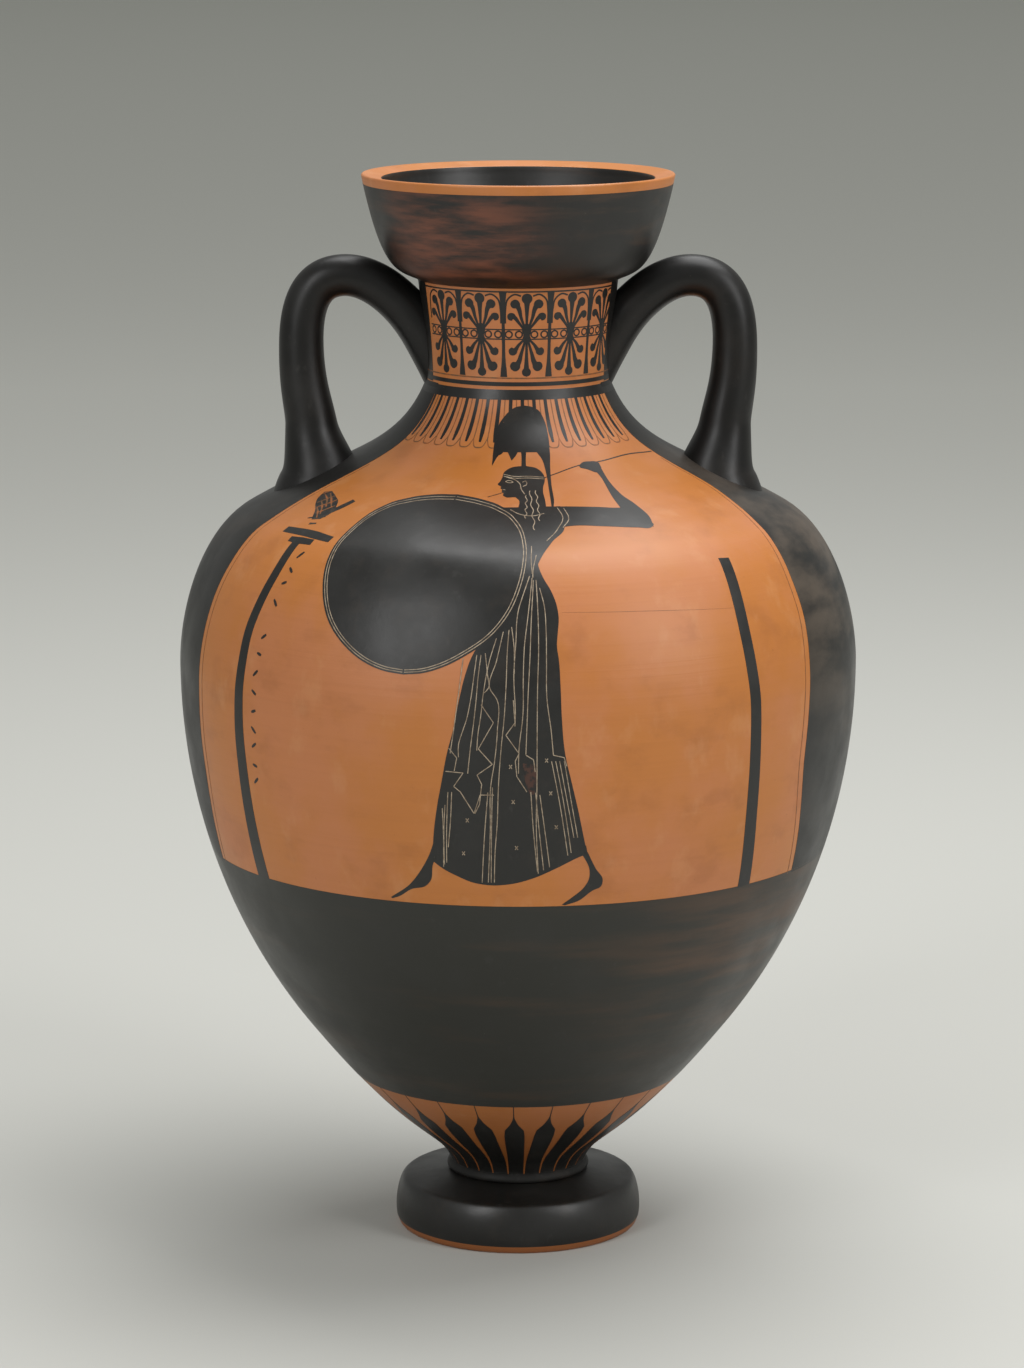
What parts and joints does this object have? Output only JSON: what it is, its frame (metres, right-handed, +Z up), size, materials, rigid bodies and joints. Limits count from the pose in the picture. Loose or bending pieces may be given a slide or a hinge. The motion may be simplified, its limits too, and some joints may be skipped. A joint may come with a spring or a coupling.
{
  "type": "neck amphora",
  "caption": "Broad-bellied two-handled neck amphora with a flaring mouth, a short neck and a disc foot, black-figure painting on red clay.",
  "frame": {"origin": "on the pot's axis in the plane that the foot rests on", "axes": "+Z up along the axis of the pot, -Y towards the main picture, +X and -X towards the two handles"},
  "size_m": [0.401, 0.401, 0.635],
  "materials": {
    "red_clay": "burnished, fine orange clay with black figures in gloss slip",
    "black_gloss": "black gloss slip, semi-matt to satin, with brown misfired patches"
  },
  "bodies": {
    "root": {"foot": "black_gloss", "foot_fillet": "black_gloss", "body_lower": "red_clay", "body_upper": "red_clay", "neck": "red_clay", "mouth": "black_gloss", "handle_left": "black_gloss", "handle_right": "black_gloss"}
  },
  "joints": []
}
